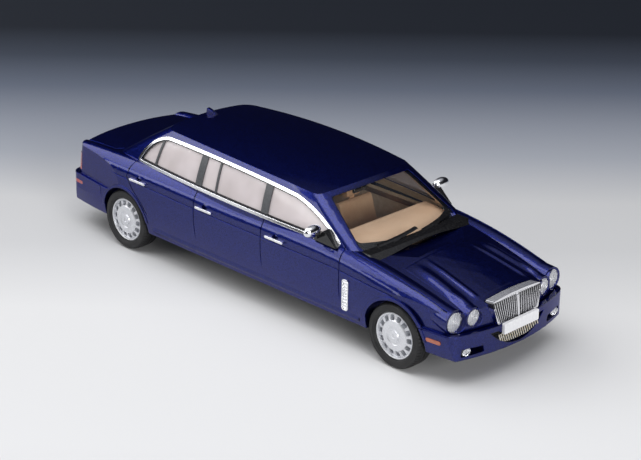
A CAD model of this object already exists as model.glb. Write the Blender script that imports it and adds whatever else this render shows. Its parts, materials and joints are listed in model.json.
# %% [markdown]
# A shelf model of a six-door stretch limousine, 1:43. The solid model holds every casting,
# etched part and wheel at its real size. This file gives them their looks: candy-deep
# metallic paint, chrome, glass, a leather cabin, rubber tyres, and a studio to stand in.

# %% Load the frame
import bpy
import bmesh
import math
from mathutils import Matrix, Vector
from mathutils.bvhtree import BVHTree
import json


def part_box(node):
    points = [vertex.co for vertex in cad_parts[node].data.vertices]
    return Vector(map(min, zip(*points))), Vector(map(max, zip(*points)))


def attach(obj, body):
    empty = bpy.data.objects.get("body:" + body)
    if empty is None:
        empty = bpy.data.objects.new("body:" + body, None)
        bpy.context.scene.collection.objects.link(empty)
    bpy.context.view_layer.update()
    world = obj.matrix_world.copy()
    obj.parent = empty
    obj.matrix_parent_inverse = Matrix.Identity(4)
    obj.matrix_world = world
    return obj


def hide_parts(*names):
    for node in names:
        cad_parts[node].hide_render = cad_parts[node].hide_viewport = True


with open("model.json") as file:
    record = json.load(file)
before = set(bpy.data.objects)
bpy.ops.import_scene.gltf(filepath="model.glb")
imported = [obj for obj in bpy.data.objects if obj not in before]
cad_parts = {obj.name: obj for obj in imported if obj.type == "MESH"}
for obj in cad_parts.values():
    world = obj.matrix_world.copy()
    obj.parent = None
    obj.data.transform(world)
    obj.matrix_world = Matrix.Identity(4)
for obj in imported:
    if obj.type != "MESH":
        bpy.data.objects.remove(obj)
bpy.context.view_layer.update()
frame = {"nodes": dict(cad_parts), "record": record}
nodes = frame["nodes"]
mm = 0.001

# %% [markdown]
# The camera stands off the car's right front wing, a little above it, with a long lens.
# Its place and lens were fitted to the wheels, lamps and screen corners, so that each of
# them falls close to where the photograph shows it. A long lens keeps the far wheels nearly
# as large as the near ones, as in a studio shot of a small object.

# %% Camera
camera_place = Vector((312.66, -309.71, 197.81)) * mm
camera_azimuth = math.radians(44.7)
camera_elevation = math.radians(22.8)
camera_roll = math.radians(0.8)
camera_lens = 107.0
sensor_width = 36.0
clip_range = (0.01, 20.0)


def camera_axes(azimuth, elevation, roll):
    """The camera's right, up and backward directions."""
    back = Vector((
        math.sin(azimuth) * math.cos(elevation),
        -math.cos(azimuth) * math.cos(elevation),
        math.sin(elevation),
    ))
    right = Vector((math.cos(azimuth), math.sin(azimuth), 0.0))
    up = back.cross(right)
    rolled_right = right * math.cos(roll) + up * math.sin(roll)
    rolled_up = up * math.cos(roll) - right * math.sin(roll)
    return rolled_right, rolled_up, back


right, up, back = camera_axes(camera_azimuth, camera_elevation, camera_roll)
camera = bpy.data.objects.new("camera", bpy.data.cameras.new("camera"))
bpy.context.scene.collection.objects.link(camera)
camera.matrix_world = Matrix.Translation(camera_place) @ Matrix((right, up, back)).transposed().to_4x4()
camera.data.lens = camera_lens
camera.data.sensor_width = sensor_width
camera.data.clip_start, camera.data.clip_end = clip_range
bpy.context.scene.camera = camera
bpy.context.scene.view_settings.view_transform = "Standard"
print("camera looks along", tuple(round(-c, 3) for c in back))

# %% [markdown]
# A finish is a tree of shader nodes. Writing one by hand is mostly plumbing, so small
# helpers do it: a value that can be added and multiplied like a number, and one method
# that makes any node from its type, its settings and the values or links of its sockets.
# The room's light is a tree as well, so the method is kept apart from the material.

# %% Shader helpers
bevel_samples = 4


class Value:
    """A socket that can stand in a formula."""

    def __init__(self, maker, socket):
        self.maker = maker
        self.socket = socket

    def math(self, operation, other, reverse=False):
        """One Math node on this value and another, or on the two the other way round."""
        pair = (other, self) if reverse else (self, other)
        return self.maker.node("ShaderNodeMath", {"operation": operation}, {0: pair[0], 1: pair[1]})

    def __add__(self, other):
        return self.math("ADD", other)

    def __sub__(self, other):
        return self.math("SUBTRACT", other)

    def __mul__(self, other):
        return self.math("MULTIPLY", other)

    def __truediv__(self, other):
        return self.math("DIVIDE", other)

    def __rsub__(self, other):
        return self.math("SUBTRACT", other, True)

    def __rtruediv__(self, other):
        return self.math("DIVIDE", other, True)

    __radd__ = __add__
    __rmul__ = __mul__


class NodeMaker:
    """A tree of shader nodes under construction."""

    def __init__(self, tree):
        self.tree = tree

    def node(self, kind, settings=None, inputs=None, output=0):
        """Make any node: first its settings, then the values or links of its sockets."""
        made = self.tree.nodes.new(kind)
        for key, value in (settings or {}).items():
            if key == "stops":
                ramp = made.color_ramp
                while len(ramp.elements) < len(value):
                    ramp.elements.new(0.5)
                for element, (place, colour) in zip(ramp.elements, value):
                    element.position = place
                    element.color = (*colour, 1.0)
            else:
                setattr(made, key, value)
        for key, value in (inputs or {}).items():
            if isinstance(value, Value):
                self.tree.links.new(value.socket, made.inputs[key])
            else:
                made.inputs[key].default_value = value
        return Value(self, made.outputs[output])

    def ramp(self, factor, stops):
        """A colour for each level of the factor, from stops of a place and a colour."""
        return self.node("ShaderNodeValToRGB", {"stops": stops}, {0: factor})


class Finish(NodeMaker):
    """A material under construction, with its Principled shader."""

    def __init__(self, name, **constants):
        self.material = bpy.data.materials.new(name)
        self.material.use_nodes = True
        super().__init__(self.material.node_tree)
        self.shader = self.tree.nodes["Principled BSDF"]
        for socket, value in constants.items():
            self.shader.inputs[socket.replace("_", " ")].default_value = value

    def place(self):
        """Object coordinates, in metres."""
        return self.node("ShaderNodeTexCoord", output="Object")

    def along(self, axis):
        """The place along one axis, in metres."""
        return self.node("ShaderNodeSeparateXYZ", None, {0: self.place()}, axis)

    def wave(self, axis, rate):
        """A sine along one axis, from -1 to 1, at a rate in radians per metre."""
        return self.node("ShaderNodeMath", {"operation": "SINE"}, {0: self.along(axis) * rate})

    def noise(self, scale, detail=3.0):
        """A cloudy pattern with this many cells per metre."""
        return self.node("ShaderNodeTexNoise", None,
                         {"Vector": self.place(), "Scale": scale, "Detail": detail, "Roughness": 0.5})

    def mix(self, factor, first, second):
        """Two colours by a factor; a Mix node's colour sockets are inputs 6, 7, output 2."""
        return self.node("ShaderNodeMix", {"data_type": "RGBA"}, {0: factor, 6: first, 7: second}, 2)

    def bump(self, height, distance, strength):
        """Dents and ridges in the light only, this deep, from a height of 0 to 1."""
        return self.node("ShaderNodeBump", None,
                         {"Height": height, "Distance": distance, "Strength": strength})

    def softened(self, normal, radius=0.45 * mm):
        """Round every edge of the surface a little, as a coat of paint or plating does."""
        return self.node("ShaderNodeBevel", {"samples": bevel_samples},
                         {"Radius": radius, "Normal": normal})

    def feed(self, **links):
        """Join values to the sockets of the shader."""
        for socket, value in links.items():
            self.tree.links.new(value.socket, self.shader.inputs[socket.replace("_", " ")])


def colour(red, green, blue):
    """A colour as a four-part value for a socket."""
    return (red, green, blue, 1.0)


print("shader maths", sorted(name for name in vars(Value) if name.startswith("__r")))

# %% [markdown]
# The studio. The model stands on a pale sheet that runs back and darkens into slate, as a
# graded paper backdrop does. The grading is in the sheet's own colour, from a ramp along
# the way the camera looks, so it keeps its place in the picture under any lamp.

# %% Floor
floor_half_width = 3.0
# metres from the model along the way the camera looks
ramp_start = -0.11
ramp_length = 0.36


def grey(level, tint):
    """A grey that leans to blue by its tint."""
    return (level, level + tint * 0.3, level + tint)


floor_stops = [
    (0.00, grey(0.70, 0.012)),
    (0.06, grey(0.73, 0.008)),
    (0.25, grey(0.72, 0.002)),
    (0.36, grey(0.58, 0.010)),
    (0.45, grey(0.55, 0.010)),
    (0.55, grey(0.34, 0.060)),
    (0.63, grey(0.235, 0.065)),
    (0.72, grey(0.108, 0.060)),
    (0.81, grey(0.040, 0.030)),
    (0.90, grey(0.0095, 0.011)),
]

floor_finish = Finish("floor_sheet", Roughness=0.6, Specular_IOR_Level=0.25)
view_direction = (-math.sin(camera_azimuth), math.cos(camera_azimuth), 0.0)
along_view = floor_finish.node(
    "ShaderNodeVectorMath", {"operation": "DOT_PRODUCT"},
    {0: floor_finish.place(), 1: view_direction}, "Value")
floor_finish.feed(Base_Color=floor_finish.ramp((along_view - ramp_start) / ramp_length, floor_stops))

floor_mesh = bpy.data.meshes.new("floor")
shape = bmesh.new()
bmesh.ops.create_grid(shape, x_segments=1, y_segments=1, size=floor_half_width)
shape.to_mesh(floor_mesh)
shape.free()
floor = bpy.data.objects.new("floor", floor_mesh)
bpy.context.scene.collection.objects.link(floor)
floor_mesh.materials.append(floor_finish.material)
print("floor", floor_half_width * 2, "m wide")

# %% [markdown]
# Soft panels light it, as softboxes do over a table. Each is placed where the paint needs
# something bright to mirror: the overhead one for the floor and the roof's edges, one at the
# tail side for the pale band along the shoulders, one at the nose side for the nose, the
# wheels and the cabin, and a long low one that the near side mirrors as a line.

# %% Lamps
lamp_target = Vector((0, 0, 15)) * mm
lamps = {
    # name: (place in metres, size in metres, watts)
    "overhead": ((0.06, -0.14, 0.80), (0.9, 0.5), 3.7),
    "tail side": ((-0.70, -0.30, 0.68), (1.2, 0.60), 5.2),
    "nose side": ((0.80, -0.26, 0.30), (0.40, 0.30), 4.0),
    "shoulder": ((-0.60, -0.66, 0.29), (0.85, 0.18), 1.7),
}
for name, (place, size, watts) in lamps.items():
    light = bpy.data.lights.new(name, "AREA")
    light.shape = "RECTANGLE"
    light.size, light.size_y = size
    light.energy = watts
    panel = bpy.data.objects.new(name, light)
    bpy.context.scene.collection.objects.link(panel)
    aim = lamp_target - Vector(place)
    panel.matrix_world = Matrix.Translation(place) @ aim.to_track_quat("-Z", "Y").to_matrix().to_4x4()
print("lamps", len(lamps))

# %% [markdown]
# The room is the world: its colour depends only on how high a ray points, dark near the
# horizon and a plain grey ceiling from about sixty degrees up. Polished paint shows what it
# mirrors, and the roof mirrors the far wall, so the dark wall makes the roof almost black.

# %% Room
room_stops = [(0.0, (0.008, 0.008, 0.011)), (0.60, (0.012, 0.012, 0.016)), (0.88, (0.45, 0.46, 0.50))]

world = bpy.data.worlds.new("studio")
bpy.context.scene.world = world
world.use_nodes = True
room = NodeMaker(world.node_tree)
direction = room.node("ShaderNodeTexCoord", output="Generated")
ray_height = room.node("ShaderNodeSeparateXYZ", None, {0: direction}, "Z")
shade = room.ramp(ray_height, room_stops)
room.tree.links.new(shade.socket, room.tree.nodes["Background"].inputs["Color"])
print("room stops", len(room_stops))

# %% [markdown]
# The paint. Real metallic paint is a dark pigment with flakes of aluminium under clear
# lacquer. The flakes make it bright where they face the light and nearly black where they
# don't, so most of the colour is in the metallic part of the shader. A Voronoi pattern with
# cells a seventh of a millimetre across gives each flake its own brightness, and a slow
# noise bends the lacquer a little, as sprayed lacquer bends over a resin casting.

# %% Paint
flake_scale = 7000.0
lacquer_scale = 160.0

paint = Finish("metallic_paint", Metallic=0.97, Coat_Weight=0.7, Coat_Roughness=0.05,
               Specular_Tint=colour(0.30, 0.32, 0.70))
cell = paint.node("ShaderNodeTexVoronoi", None, {"Vector": paint.place(), "Scale": flake_scale}, "Color")
flake = paint.node("ShaderNodeSeparateColor", None, {0: cell}, "Red")
deep = colour(0.003, 0.005, 0.060)
bright = colour(0.014, 0.023, 0.190)
paint.feed(
    Base_Color=paint.mix(flake, deep, bright),
    Roughness=flake * 0.10 + 0.30,
    Normal=paint.softened(paint.bump(paint.noise(lacquer_scale), 0.02 * mm, 0.35)),
)
print("paint flakes per mm", flake_scale / 1000)

# %% [markdown]
# Chrome. The trim of such a model is etched from thin sheet and plated, so it is nearly a
# mirror with faint polishing marks, which one noise gives in colour, gloss and bump.

# %% Chrome
chrome = Finish("chrome", Metallic=1.0)
marks = chrome.noise(700.0, 4.0)
chrome.feed(
    Base_Color=chrome.ramp(marks, [(0.3, (0.80, 0.81, 0.84)), (0.7, (0.92, 0.92, 0.94))]),
    Roughness=marks * 0.10 + 0.10,
    Normal=chrome.softened(chrome.bump(marks, 0.005 * mm, 0.3), 0.2 * mm),
)
print("chrome", len(chrome.tree.nodes), "nodes")

# %% [markdown]
# The grille's metal. Its vanes are plated like the trim, but their edges are rounded in the
# mesh, so their shader needs no softening. The surround is one casting with three looks: a
# pale lid on top, a dark band in front where the vanes throw their shadow, and grey flutes
# on the rest. Masks tell them apart by height, by how far the face looks up, and by the
# distance from the middle, which keeps the dark band off the divider.

# %% Grille metal
header_foot = 17.0 * mm
header_edge = 18.42 * mm
flute_pitch = 0.42 * mm
divider_half_width = 0.35 * mm
lid_tilt = 0.6

vane_chrome = Finish("vane_chrome", Metallic=1.0)
vane_marks = vane_chrome.noise(1500.0, 2.0)
vane_chrome.feed(
    Base_Color=vane_chrome.ramp(vane_marks, [(0.3, (0.72, 0.72, 0.75)), (0.7, (0.88, 0.88, 0.90))]),
    Roughness=vane_marks * 0.1 + 0.16,
)

grille_chrome = Finish("grille_chrome")
height = grille_chrome.along("Z")
facing = grille_chrome.node("ShaderNodeNewGeometry", output="Normal")
upward = grille_chrome.node("ShaderNodeSeparateXYZ", None, {0: facing}, "Z")
sideways = grille_chrome.along("Y")
off_middle = grille_chrome.node("ShaderNodeMath", {"operation": "ABSOLUTE"}, {0: sideways})
above = height.math("GREATER_THAN", header_foot)
below = height.math("LESS_THAN", header_edge)
lid = upward.math("GREATER_THAN", lid_tilt)
beside = off_middle.math("GREATER_THAN", divider_half_width)
header = above * lid
shadow_band = above * below * (1.0 - lid) * beside
flutes = grille_chrome.wave("Y", 2 * math.pi / flute_pitch)
fluted = grille_chrome.ramp(flutes * 0.5 + 0.5, [(0.2, (0.10, 0.10, 0.12)), (0.8, (0.55, 0.56, 0.60))])
lit_metal = grille_chrome.mix(header, colour(0.88, 0.88, 0.91), fluted)
grille_chrome.feed(
    Base_Color=grille_chrome.mix(shadow_band, lit_metal, colour(0.012, 0.012, 0.014)),
    Metallic=1.0 - header * 0.5 - shadow_band,
    Roughness=header * 0.15 + 0.12,
    Normal=grille_chrome.bump(flutes * header, 0.06 * mm, 0.6),
)
print("grille metal", len(grille_chrome.tree.nodes), "nodes")

# %% [markdown]
# Silver and steel. The wheels are cast and sprayed silver, which is duller than plating and
# has a fine grain. The axles are turned steel, greyer and rougher.

# %% Silver and steel
wheel_silver = Finish("wheel_silver", Metallic=0.62)
grain = wheel_silver.noise(5200.0, 2.0)
wheel_silver.feed(
    Base_Color=wheel_silver.ramp(grain, [(0.3, (0.62, 0.63, 0.66)), (0.7, (0.80, 0.81, 0.84))]),
    Roughness=grain * 0.14 + 0.28,
    Normal=wheel_silver.bump(grain, 0.01 * mm, 0.3),
)

steel = Finish("turned_steel", Metallic=1.0)
turning_marks = steel.noise(2600.0, 2.0)
steel.feed(
    Base_Color=steel.ramp(turning_marks, [(0.3, (0.42, 0.42, 0.44)), (0.7, (0.60, 0.60, 0.62))]),
    Roughness=turning_marks * 0.2 + 0.22,
)
print("silver and steel", len(wheel_silver.tree.nodes) + len(steel.tree.nodes), "nodes")

# %% [markdown]
# Lamp bowls and etched mesh. A lamp's bowl is silvered and pressed with upright flutes, so a
# sine across the car feeds its bump. The lattice below the plate is etched brass with thin
# plating, and the noise lets the brass show through in places.

# %% Lamp bowls and etched mesh
reflector_flute_rate = 12000.0

reflector = Finish("lamp_reflector", Metallic=0.85)
silvering = reflector.noise(900.0)
reflector.feed(
    Base_Color=reflector.ramp(silvering, [(0.3, (0.74, 0.75, 0.78)), (0.7, (0.90, 0.90, 0.92))]),
    Roughness=reflector.noise(1500.0) * 0.1 + 0.12,
    Normal=reflector.bump(reflector.wave("Y", reflector_flute_rate), 0.08 * mm, 0.7),
)

brass_mesh = Finish("etched_mesh", Metallic=1.0)
tarnish = brass_mesh.noise(1500.0)
brass_mesh.feed(
    Base_Color=brass_mesh.ramp(tarnish, [(0.35, (0.62, 0.52, 0.36)), (0.65, (0.84, 0.82, 0.78))]),
    Roughness=tarnish * 0.15 + 0.18,
)
print("bowls and mesh", len(reflector.tree.nodes) + len(brass_mesh.tree.nodes), "nodes")

# %% [markdown]
# Rubber and black trim. Rubber is very dark, a little dusty where it bulges, and finely
# pitted. The black, grey, cream and white parts are sprayed or moulded, and differ only in
# colour and gloss, so one recipe makes them all.

# %% Rubber and black parts
rubber = Finish("tyre_rubber", Specular_IOR_Level=0.35)
dust = rubber.noise(420.0, 4.0)
pits = rubber.noise(6000.0, 2.0)
rubber.feed(
    Base_Color=rubber.ramp(dust, [(0.35, (0.010, 0.010, 0.011)), (0.75, (0.026, 0.026, 0.027))]),
    Roughness=dust * 0.25 + 0.42,
    Normal=rubber.bump(pits, 0.02 * mm, 0.4),
)


def satin(name, dark, light, rough, scale=1800.0):
    """A sprayed or moulded part: a faint mottle in colour and gloss, and a fine grain."""
    made = Finish(name)
    mottle = made.noise(scale, 3.0)
    made.feed(
        Base_Color=made.ramp(mottle, [(0.3, dark), (0.7, light)]),
        Roughness=mottle * 0.2 + rough,
        Normal=made.bump(made.noise(scale * 3), 0.01 * mm, 0.3),
    )
    return made


black = satin("trim_black", (0.004, 0.004, 0.005), (0.012, 0.012, 0.013), 0.14)
base_black = satin("base_black", (0.010, 0.010, 0.011), (0.022, 0.022, 0.024), 0.38)
pillar_grey = satin("pillar_grey", (0.050, 0.053, 0.058), (0.080, 0.084, 0.090), 0.25)
cream = satin("cream_trim", (0.62, 0.48, 0.33), (0.74, 0.60, 0.43), 0.50, 900.0)
plate_white = satin("plate_white", (0.78, 0.78, 0.80), (0.86, 0.86, 0.88), 0.25)
print("rubber", len(rubber.tree.nodes), "nodes, satin", len(black.tree.nodes), "nodes")

# %% [markdown]
# Leather and wood. The seats are pleated, so their finish carries soft ridges that run
# front to back, worked out as a sine across the car, under a fine pebbled grain. The wood
# strips are long streaks: the same noise, stretched along the car.

# %% Leather and wood
pleat_pitch = 1.3 * mm
streak_scale = (90.0, 1800.0, 1800.0)

leather = Finish("tan_leather", Specular_IOR_Level=0.4)
pleat = leather.wave("Y", 2 * math.pi / pleat_pitch)
pebble = leather.noise(3800.0, 3.0)
tan = leather.noise(240.0)
leather.feed(
    Base_Color=leather.ramp(tan, [(0.3, (0.60, 0.36, 0.20)), (0.7, (0.72, 0.47, 0.28))]),
    Roughness=pebble * 0.2 + 0.42,
    Normal=leather.bump(pleat * 0.8 + pebble * 0.3, 0.06 * mm, 0.6),
)

dash_leather = Finish("dash_leather", Specular_IOR_Level=0.4)
dash_grain = dash_leather.noise(3000.0, 3.0)
dash_tan = dash_leather.noise(150.0)
dash_leather.feed(
    Base_Color=dash_leather.ramp(dash_tan, [(0.3, (0.84, 0.56, 0.36)), (0.7, (0.92, 0.65, 0.44))]),
    Roughness=dash_grain * 0.2 + 0.45,
    Normal=dash_leather.bump(dash_grain, 0.02 * mm, 0.3),
)

wood = Finish("polished_wood", Coat_Weight=0.8, Coat_Roughness=0.05)
stretch = wood.node("ShaderNodeMapping", None, {"Vector": wood.place(), "Scale": streak_scale})
streaks = wood.node("ShaderNodeTexNoise", None, {"Vector": stretch, "Scale": 1.0, "Detail": 4.0})
wood.feed(
    Base_Color=wood.ramp(streaks, [(0.3, (0.035, 0.012, 0.006)), (0.7, (0.16, 0.06, 0.025))]),
    Roughness=streaks * 0.15 + 0.25,
)
print("pleats", round(pleat_pitch / mm, 2), "mm apart")

# %% [markdown]
# Glass and lenses. The screens are clear, thin and slightly wavy. The side panes of the
# model are a warm, milky grey: light gets through, but the cabin is only a hint. Real
# refraction would keep the lamps' light out of the cabin, so each pane is a glossy surface
# with a low Alpha instead: what isn't covered is simply open, for light as well as for the
# eye. The lamp covers are fluted the same way as the bowls, and a lens is ribbed.

# %% Glass and lenses
lamp_flute_rate = 11000.0
lens_rib_rate = 16000.0

clear = Finish("clear_glass", Specular_IOR_Level=1.0)
ripple = clear.noise(90.0, 1.0)
clear.feed(
    Base_Color=clear.ramp(ripple, [(0.3, (0.03, 0.035, 0.04)), (0.7, (0.05, 0.055, 0.06))]),
    Roughness=ripple * 0.04 + 0.02,
    Alpha=ripple * 0.05 + 0.10,
)

tinted = Finish("tinted_glass", Specular_IOR_Level=0.8)
haze = tinted.noise(120.0, 2.0)
tinted.feed(
    Base_Color=tinted.ramp(haze, [(0.3, (0.74, 0.67, 0.67)), (0.7, (0.85, 0.78, 0.79))]),
    Roughness=haze * 0.10 + 0.10,
    Alpha=haze * 0.12 + 0.62,
)

lamp_glass = Finish("lamp_glass", Specular_IOR_Level=1.0)
cover_flutes = lamp_glass.wave("Y", lamp_flute_rate)
cover_cloud = lamp_glass.noise(800.0)
lamp_glass.feed(
    Base_Color=lamp_glass.ramp(cover_cloud, [(0.3, (0.66, 0.67, 0.70)), (0.7, (0.86, 0.87, 0.90))]),
    Roughness=lamp_glass.noise(1200.0) * 0.1 + 0.06,
    Alpha=cover_flutes * 0.10 + 0.40,
    Normal=lamp_glass.bump(cover_flutes, 0.05 * mm, 0.6),
)


def lens(name, dark, light):
    """A coloured lens with fine ribs, upright where it faces sideways."""
    made = Finish(name, Coat_Weight=1.0, Coat_Roughness=0.05)
    made.feed(
        Base_Color=made.ramp(made.noise(900.0), [(0.3, dark), (0.7, light)]),
        Roughness=made.noise(1500.0) * 0.1 + 0.15,
        Normal=made.bump(made.wave("X", lens_rib_rate), 0.04 * mm, 0.4),
    )
    return made


red = lens("red_lens", (0.27, 0.008, 0.012), (0.42, 0.018, 0.022))
amber = lens("amber_lens", (0.34, 0.060, 0.020), (0.50, 0.120, 0.040))
print("finishes made", len(bpy.data.materials))

# %% [markdown]
# Each solid takes the finish of its material slot in the record. Four pieces need a look of
# their own: the dashboard, which is leather without pleats, the headlamps' covers and bowls,
# and the grille's surround.

# %% Finishes onto the solids
finish_of_slot = {
    "paint": paint, "base_black": base_black, "steel": steel, "cream_trim": cream,
    "tan_leather": leather, "clear_glass": clear, "tinted_glass": tinted, "chrome": chrome,
    "pillar_grey": pillar_grey, "lamp_silver": chrome, "trim_black": black,
    "mesh_metal": brass_mesh, "plate_white": plate_white, "red_lens": red, "amber_lens": amber,
    "wheel_silver": wheel_silver, "tyre": rubber, "wood": wood, "mirror_glass": chrome,
}
finish_of_node = {"dashboard": dash_leather, "headlamp_covers": lamp_glass,
                  "headlamp_bowls": reflector, "grille_surround": grille_chrome}
for subpart in frame["record"]["subparts"]:
    node, slot = subpart["node"], subpart["material_slot"]
    finish = finish_of_node.get(node, finish_of_slot[slot])
    nodes[node].data.materials.clear()
    nodes[node].data.materials.append(finish.material)
print("finishes", len(finish_of_slot) + len(finish_of_node))

# %% [markdown]
# Pieces made here start as a bmesh and end as a mesh at the origin. One helper links a
# piece, gives it its finish, its slot and its body, and says which solid it stands for. The
# other tidies a spun shape: a full spin can leave its seam doubled and itself inside out.

# %% Piece helpers
merge_distance = 0.001 * mm


def close_seams(shape):
    """Merge doubled points, then turn every face outward."""
    bmesh.ops.remove_doubles(shape, verts=shape.verts, dist=merge_distance)
    bmesh.ops.recalc_face_normals(shape, faces=shape.faces)


def finish_piece(name, shape, finish, body, stands_for=(), sharp_degrees=35.0):
    """Turn a bmesh into a piece of the model, smooth except at its sharp edges."""
    mesh = bpy.data.meshes.new(name)
    shape.to_mesh(mesh)
    shape.free()
    mesh.materials.append(finish.material)
    mesh.shade_smooth()
    mesh.set_sharp_from_angle(angle=math.radians(sharp_degrees))
    piece = bpy.data.objects.new(name, mesh)
    bpy.context.scene.collection.objects.link(piece)
    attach(piece, body)
    if stands_for:
        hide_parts(*stands_for)
    print(name, len(mesh.polygons), "faces")
    return piece


# %% [markdown]
# Pressed panels. On the real car the bonnet's ridges and the sill's moulding are pressed
# into the panel after its main shape, so they are made that way here: a fine grid is laid on
# the casting by casting a ray at each of its points, and raised by the ridges. Its edge
# sinks just under the paint, so the grid reads as part of the panel. The casting's triangles
# are so small in metres that rays slip past them, so the search is made in millimetres.

# %% Pressed panels
body_mesh = nodes["body_shell"].data
body_tree = BVHTree.FromPolygons(
    [tuple(vert.co / mm) for vert in body_mesh.vertices],
    [tuple(face.vertices) for face in body_mesh.polygons])
skin_lift = 0.04 * mm
edge_sink = 0.14 * mm
edge_width = 0.7 * mm
smoothing = 0.5
never_sharp = 180.0


def swell(distance, width):
    """One at the middle of a ridge, falling smoothly to nothing at its width."""
    return math.cos(min(abs(distance) / width, 1.0) * math.pi / 2) ** 2


def ease(value):
    """Zero to one, level at both ends."""
    value = min(max(value, 0.0), 1.0)
    return value * value * (3 - 2 * value)


def pressed_panel(name, counts, low, high, start, toward, height):
    """Lay a grid on the casting; low and high bound its two coordinates."""
    shape = bmesh.new()
    bmesh.ops.create_grid(shape, x_segments=counts[0], y_segments=counts[1], size=1.0)
    for vert in shape.verts:
        u = low[0] + (high[0] - low[0]) * (vert.co.x + 1) / 2
        v = low[1] + (high[1] - low[1]) * (vert.co.y + 1) / 2
        border = min(u - low[0], high[0] - u, v - low[1], high[1] - v)
        place = body_tree.ray_cast(start(u, v) / mm, toward)[0] * mm
        lift = skin_lift + height(u, v) - edge_sink * (1 - ease(border / edge_width))
        vert.co = place - toward * lift
    bmesh.ops.smooth_vert(shape, verts=shape.verts, factor=smoothing,
                          use_axis_x=toward.x != 0, use_axis_y=toward.y != 0, use_axis_z=toward.z != 0)
    if toward.y < 0:
        bmesh.ops.reverse_faces(shape, faces=shape.faces)
    return finish_piece(name, shape, paint, "body", sharp_degrees=never_sharp)


print("casting to lay panels on", len(body_mesh.polygons), "faces")

# %% [markdown]
# The bonnet's ridges. Two soft ridges a side run back from the lamps, a little closer
# together at the rear. Each is a swell across the bonnet, and the whole pattern fades in
# from the rear and out just short of the nose, so no ridge ends in a step.

# %% Bonnet ridges
bonnet_low = (46.4 * mm, -14.4 * mm)
bonnet_high = (65.6 * mm, 14.4 * mm)
bonnet_cells = (70, 120)
above_the_car = 60 * mm
# shares of the bonnet's length, from the rear
fade_in_speed = 2.6
fade_out_start = 0.84
fade_out_length = 0.16
bonnet_ridges = [
    # distance from the middle at the rear and at the front, half width, height, all in mm
    (7.4, 8.7, 1.0, 0.32),
    (10.9, 12.3, 2.0, 0.50),
]


def bonnet_height(x, y):
    """How far the ridges raise the bonnet at a place."""
    along = (x - bonnet_low[0]) / (bonnet_high[0] - bonnet_low[0])
    total = 0.0
    fade = ease(along * fade_in_speed) * (1 - ease((along - fade_out_start) / fade_out_length))
    for rear_y, front_y, width, tall in bonnet_ridges:
        middle = (rear_y + (front_y - rear_y) * along) * mm
        total += tall * mm * swell(abs(y) - middle, width * mm) * fade
    return total


pressed_panel("bonnet_ridges", bonnet_cells, bonnet_low, bonnet_high,
              lambda x, y: Vector((x, y, above_the_car)), Vector((0, 0, -1)), bonnet_height)

# %% [markdown]
# The sill mouldings. A rounded bead runs under the doors from one wheel arch to the other.
# It is the same pressed panel, with its rays cast in from the side, once for each side.

# %% Sill mouldings
sill_low = (-33.5 * mm, 7.3 * mm)
sill_high = (39.8 * mm, 9.9 * mm)
sill_cells = (110, 14)
sill_line = 8.5 * mm
bead_height = 0.30 * mm
bead_half_width = 0.9 * mm
beside_the_car = 40 * mm


def sill_height(x, z):
    """How far the bead stands out at a height."""
    return bead_height * swell(z - sill_line, bead_half_width)


for name, side in (("sill_moulding_left", 1), ("sill_moulding_right", -1)):
    pressed_panel(name, sill_cells, sill_low, sill_high,
                  lambda x, z: Vector((x, side * beside_the_car, z)),
                  Vector((0, -side, 0)), sill_height)

# %% [markdown]
# The fog lamps are wide ovals: a bright rim round a domed lens. Both are one section spun
# round the lamp's axis, then stretched sideways.

# %% Fog lamps
fog_section = [
    # x and radius in mm, from the rim's back to the middle of the lens
    (66.5, 0.94), (67.9, 0.94), (68.0, 0.88), (67.96, 0.80), (67.72, 0.76), (67.80, 0.55), (67.86, 0.28),
    (67.88, 0.0),
]
fog_place = (15.55, 8.5)
fog_stretch = 1.5
fog_steps = 40


def build_fog_lamps():
    """Spin one lamp at a time, and stretch only what that spin made."""
    shape = bmesh.new()
    for side in (1, -1):
        middle = Vector((0, side * fog_place[0] * mm, fog_place[1] * mm))
        points = [
            shape.verts.new(middle + Vector((x * mm, 0, radius * mm)))
            for x, radius in fog_section
        ]
        edges = [shape.edges.new(pair) for pair in zip(points, points[1:])]
        before = set(shape.verts) - set(points)
        bmesh.ops.spin(shape, geom=points + edges, cent=middle, axis=(1, 0, 0),
                       angle=2 * math.pi, steps=fog_steps, use_merge=True)
        made = [vert for vert in shape.verts if vert not in before]
        for vert in made:
            vert.co.y = middle.y + (vert.co.y - middle.y) * fog_stretch
    close_seams(shape)
    return finish_piece("fog_lamp_ovals", shape, reflector, "body", ("fog_lamps",), 40.0)


build_fog_lamps()

# %% [markdown]
# The tyres. A tyre is a ring, so half its cross-section is drawn once as a few points,
# mirrored, and spun round the axle. The tread's three grooves are in the section. The
# shoulder blocks come after the spin: every other face of the shoulder rings is inset and
# pushed in, which cuts the short slots seen at the tread's edge.

# %% Tyres
tyre_steps = 112
tyre_width = 5.4 * mm
shoulder_radii = (7.65, 7.99)
slot_depth = 0.10 * mm
slot_margin = 0.03 * mm
tyre_half_section = [
    # distance from the middle of the tread, radius, both in mm
    (2.16, 5.76), (2.50, 5.92), (2.62, 6.15), (2.60, 6.30), (2.70, 6.42), (2.70, 6.95),
    (2.62, 7.35), (2.66, 7.42), (2.50, 7.60), (2.28, 7.82), (1.95, 7.95), (1.55, 7.998),
    (1.20, 7.998), (1.16, 7.84), (1.00, 7.84), (0.96, 7.998),
    (0.14, 7.998), (0.12, 7.84),
]


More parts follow.
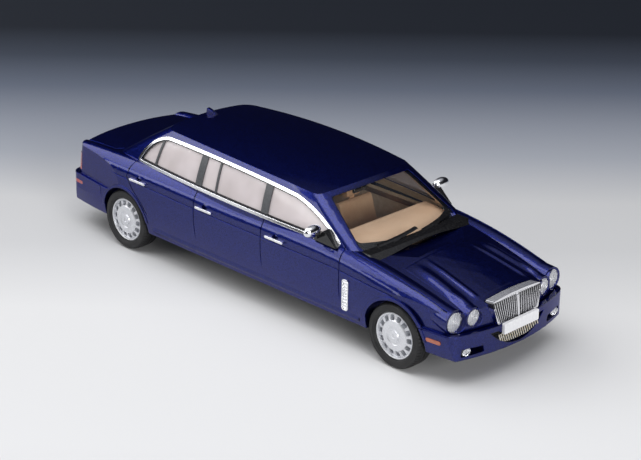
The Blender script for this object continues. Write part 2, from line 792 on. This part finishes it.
def tyre_ring(shape, axle_x, middle_y, axle_z):
    """Spin the section round an axle."""
    section = [(y, r) for y, r in tyre_half_section] + [(-y, r) for y, r in reversed(tyre_half_section)]
    points = [
        shape.verts.new((axle_x, middle_y + y * mm, axle_z + radius * mm))
        for y, radius in section
    ]
    loop = [shape.edges.new((points[i], points[(i + 1) % len(points)])) for i in range(len(points))]
    bmesh.ops.spin(shape, geom=points + loop, cent=(axle_x, middle_y, axle_z), axis=(0, 1, 0),
                   angle=2 * math.pi, steps=tyre_steps, use_merge=True)


def build_tyres(node, body):
    """The two tyres of one axle, with slots cut in their shoulders."""
    low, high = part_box(node)
    axle_x = (low[0] + high[0]) / 2
    axle_z = (low[2] + high[2]) / 2
    shape = bmesh.new()
    for middle_y in (high[1] - tyre_width / 2, low[1] + tyre_width / 2):
        tyre_ring(shape, axle_x, middle_y, axle_z)
    close_seams(shape)
    shoulder = []
    for face in shape.faces:
        centre = face.calc_center_median()
        radius = math.hypot(centre.x - axle_x, centre.z - axle_z) / mm
        turn = math.atan2(centre.z - axle_z, centre.x - axle_x) / (2 * math.pi) * tyre_steps
        if shoulder_radii[0] < radius < shoulder_radii[1] and math.floor(turn) % 2 == 0:
            shoulder.append(face)
    bmesh.ops.inset_individual(shape, faces=shoulder, thickness=slot_margin, depth=-slot_depth)
    return finish_piece(node + "_tread", shape, rubber, body, (node,))


build_tyres("front_tyres", "front_wheel_set")
build_tyres("rear_tyres", "rear_wheel_set")

# %% [markdown]
# The grille's vanes. The solid model has upright blades that stop below the header. On the
# real one they fan out with the leaning sides and run up to the header's bright edge, so one
# blade is a bevelled cube, stretched, sheared to its own place in the fan, and repeated.

# %% Grille vanes
vanes_a_side = 11
vane_width = 0.22 * mm
vane_depth = 1.0 * mm
vane_front = 69.76 * mm
vane_rounding = 0.06 * mm
vane_foot_z = 13.0 * mm
vane_foot_rise = 0.30 * mm
vane_top_z = 18.72 * mm
vane_top_drop = 0.48 * mm
grille_foot_z = 12.9 * mm
grille_slope = math.tan(math.radians(7.0))
# distance from the middle of the innermost and the outermost vane
fan_foot = (0.55 * mm, 6.45 * mm)
fan_top = (0.60 * mm, 8.00 * mm)


def build_vanes():
    """Both fans; the vanes get shorter outward, as the surround's corners are round."""
    shape = bmesh.new()
    for i in range(vanes_a_side):
        share = i / (vanes_a_side - 1)
        y_foot = fan_foot[0] + (fan_foot[1] - fan_foot[0]) * share
        y_top = fan_top[0] + (fan_top[1] - fan_top[0]) * share
        z_foot = vane_foot_z + vane_foot_rise * share ** 2
        z_top = vane_top_z - vane_top_drop * share ** 2
        for side in (1, -1):
            made = bmesh.ops.create_cube(shape, size=1.0)["verts"]
            bmesh.ops.scale(shape, verts=made, vec=(vane_depth, vane_width, z_top - z_foot))
            edges = {edge for vert in made for edge in vert.link_edges}
            rounded = bmesh.ops.bevel(shape, geom=list(edges), offset=vane_rounding, affect="EDGES",
                                      segments=2, profile=0.5, material=-1)
            for vert in set(rounded["verts"]):
                share_up = vert.co.z / (z_top - z_foot) + 0.5
                vert.co.z += (z_top + z_foot) / 2
                vert.co.y += side * (y_foot + (y_top - y_foot) * share_up)
                vert.co.x += vane_front - vane_depth / 2 - grille_slope * (vert.co.z - grille_foot_z)
    return finish_piece("grille_vane_fan", shape, vane_chrome, "body", ("grille_vanes",))


build_vanes()

# %% [markdown]
# The lattice below the number plate is etched metal: slanted bars with dark gaps between
# them. One bar is a scaled and sheared cube, made again at each step along the opening. Its
# foot follows the opening's curve, and the bars near the ends are moved in, so their slant
# doesn't carry them past it. A flat bar along the top ties them together.

# %% Intake lattice
bar_count = 19
bar_width = 0.36 * mm
bar_depth = 0.3 * mm
bar_lean = 0.42
tie_depth = 0.2 * mm
tie_height = 0.16 * mm
lattice_half_width = 7.0 * mm
lattice_front = 70.0 * mm
foot_middle_z = 7.95 * mm
foot_rise = 2.2 * mm
foot_reach = 8.2 * mm


def intake_foot(y):
    """Height of the lattice's curved foot at a distance from the middle, in metres."""
    return foot_middle_z + foot_rise * (abs(y) / foot_reach) ** 4


def build_lattice():
    """The slanted bars and the flat bar that ties them together at the top."""
    low, high = (list(corner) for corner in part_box("intake_mesh"))
    low[1], high[1], high[0] = -lattice_half_width, lattice_half_width, lattice_front
    shape = bmesh.new()
    span = high[1] - low[1] - bar_width * 2
    for i in range(bar_count):
        y = low[1] + bar_width + span * i / (bar_count - 1)
        foot = intake_foot(y)
        top = high[2]
        made = bmesh.ops.create_cube(shape, size=1.0)["verts"]
        bmesh.ops.scale(shape, verts=made, vec=(bar_depth, bar_width, top - foot))
        for vert in made:
            vert.co.y -= vert.co.z * bar_lean
        limit = max(abs(y) + (top - foot) * bar_lean / 2 - high[1], 0.0)
        shift = -limit if y > 0 else limit
        bmesh.ops.translate(shape, verts=made,
                            vec=(high[0] - bar_depth / 2, y + shift, (top + foot) / 2))
    tie = bmesh.ops.create_cube(shape, size=1.0)["verts"]
    bmesh.ops.scale(shape, verts=tie, vec=(tie_depth, high[1] - low[1], tie_height))
    bmesh.ops.translate(shape, verts=tie,
                        vec=(high[0] - tie_depth / 2, (high[1] + low[1]) / 2, high[2] - tie_height / 2))
    return finish_piece("intake_lattice", shape, brass_mesh, "body", ("intake_mesh",))


build_lattice()

# %% Sizes and the end
import json
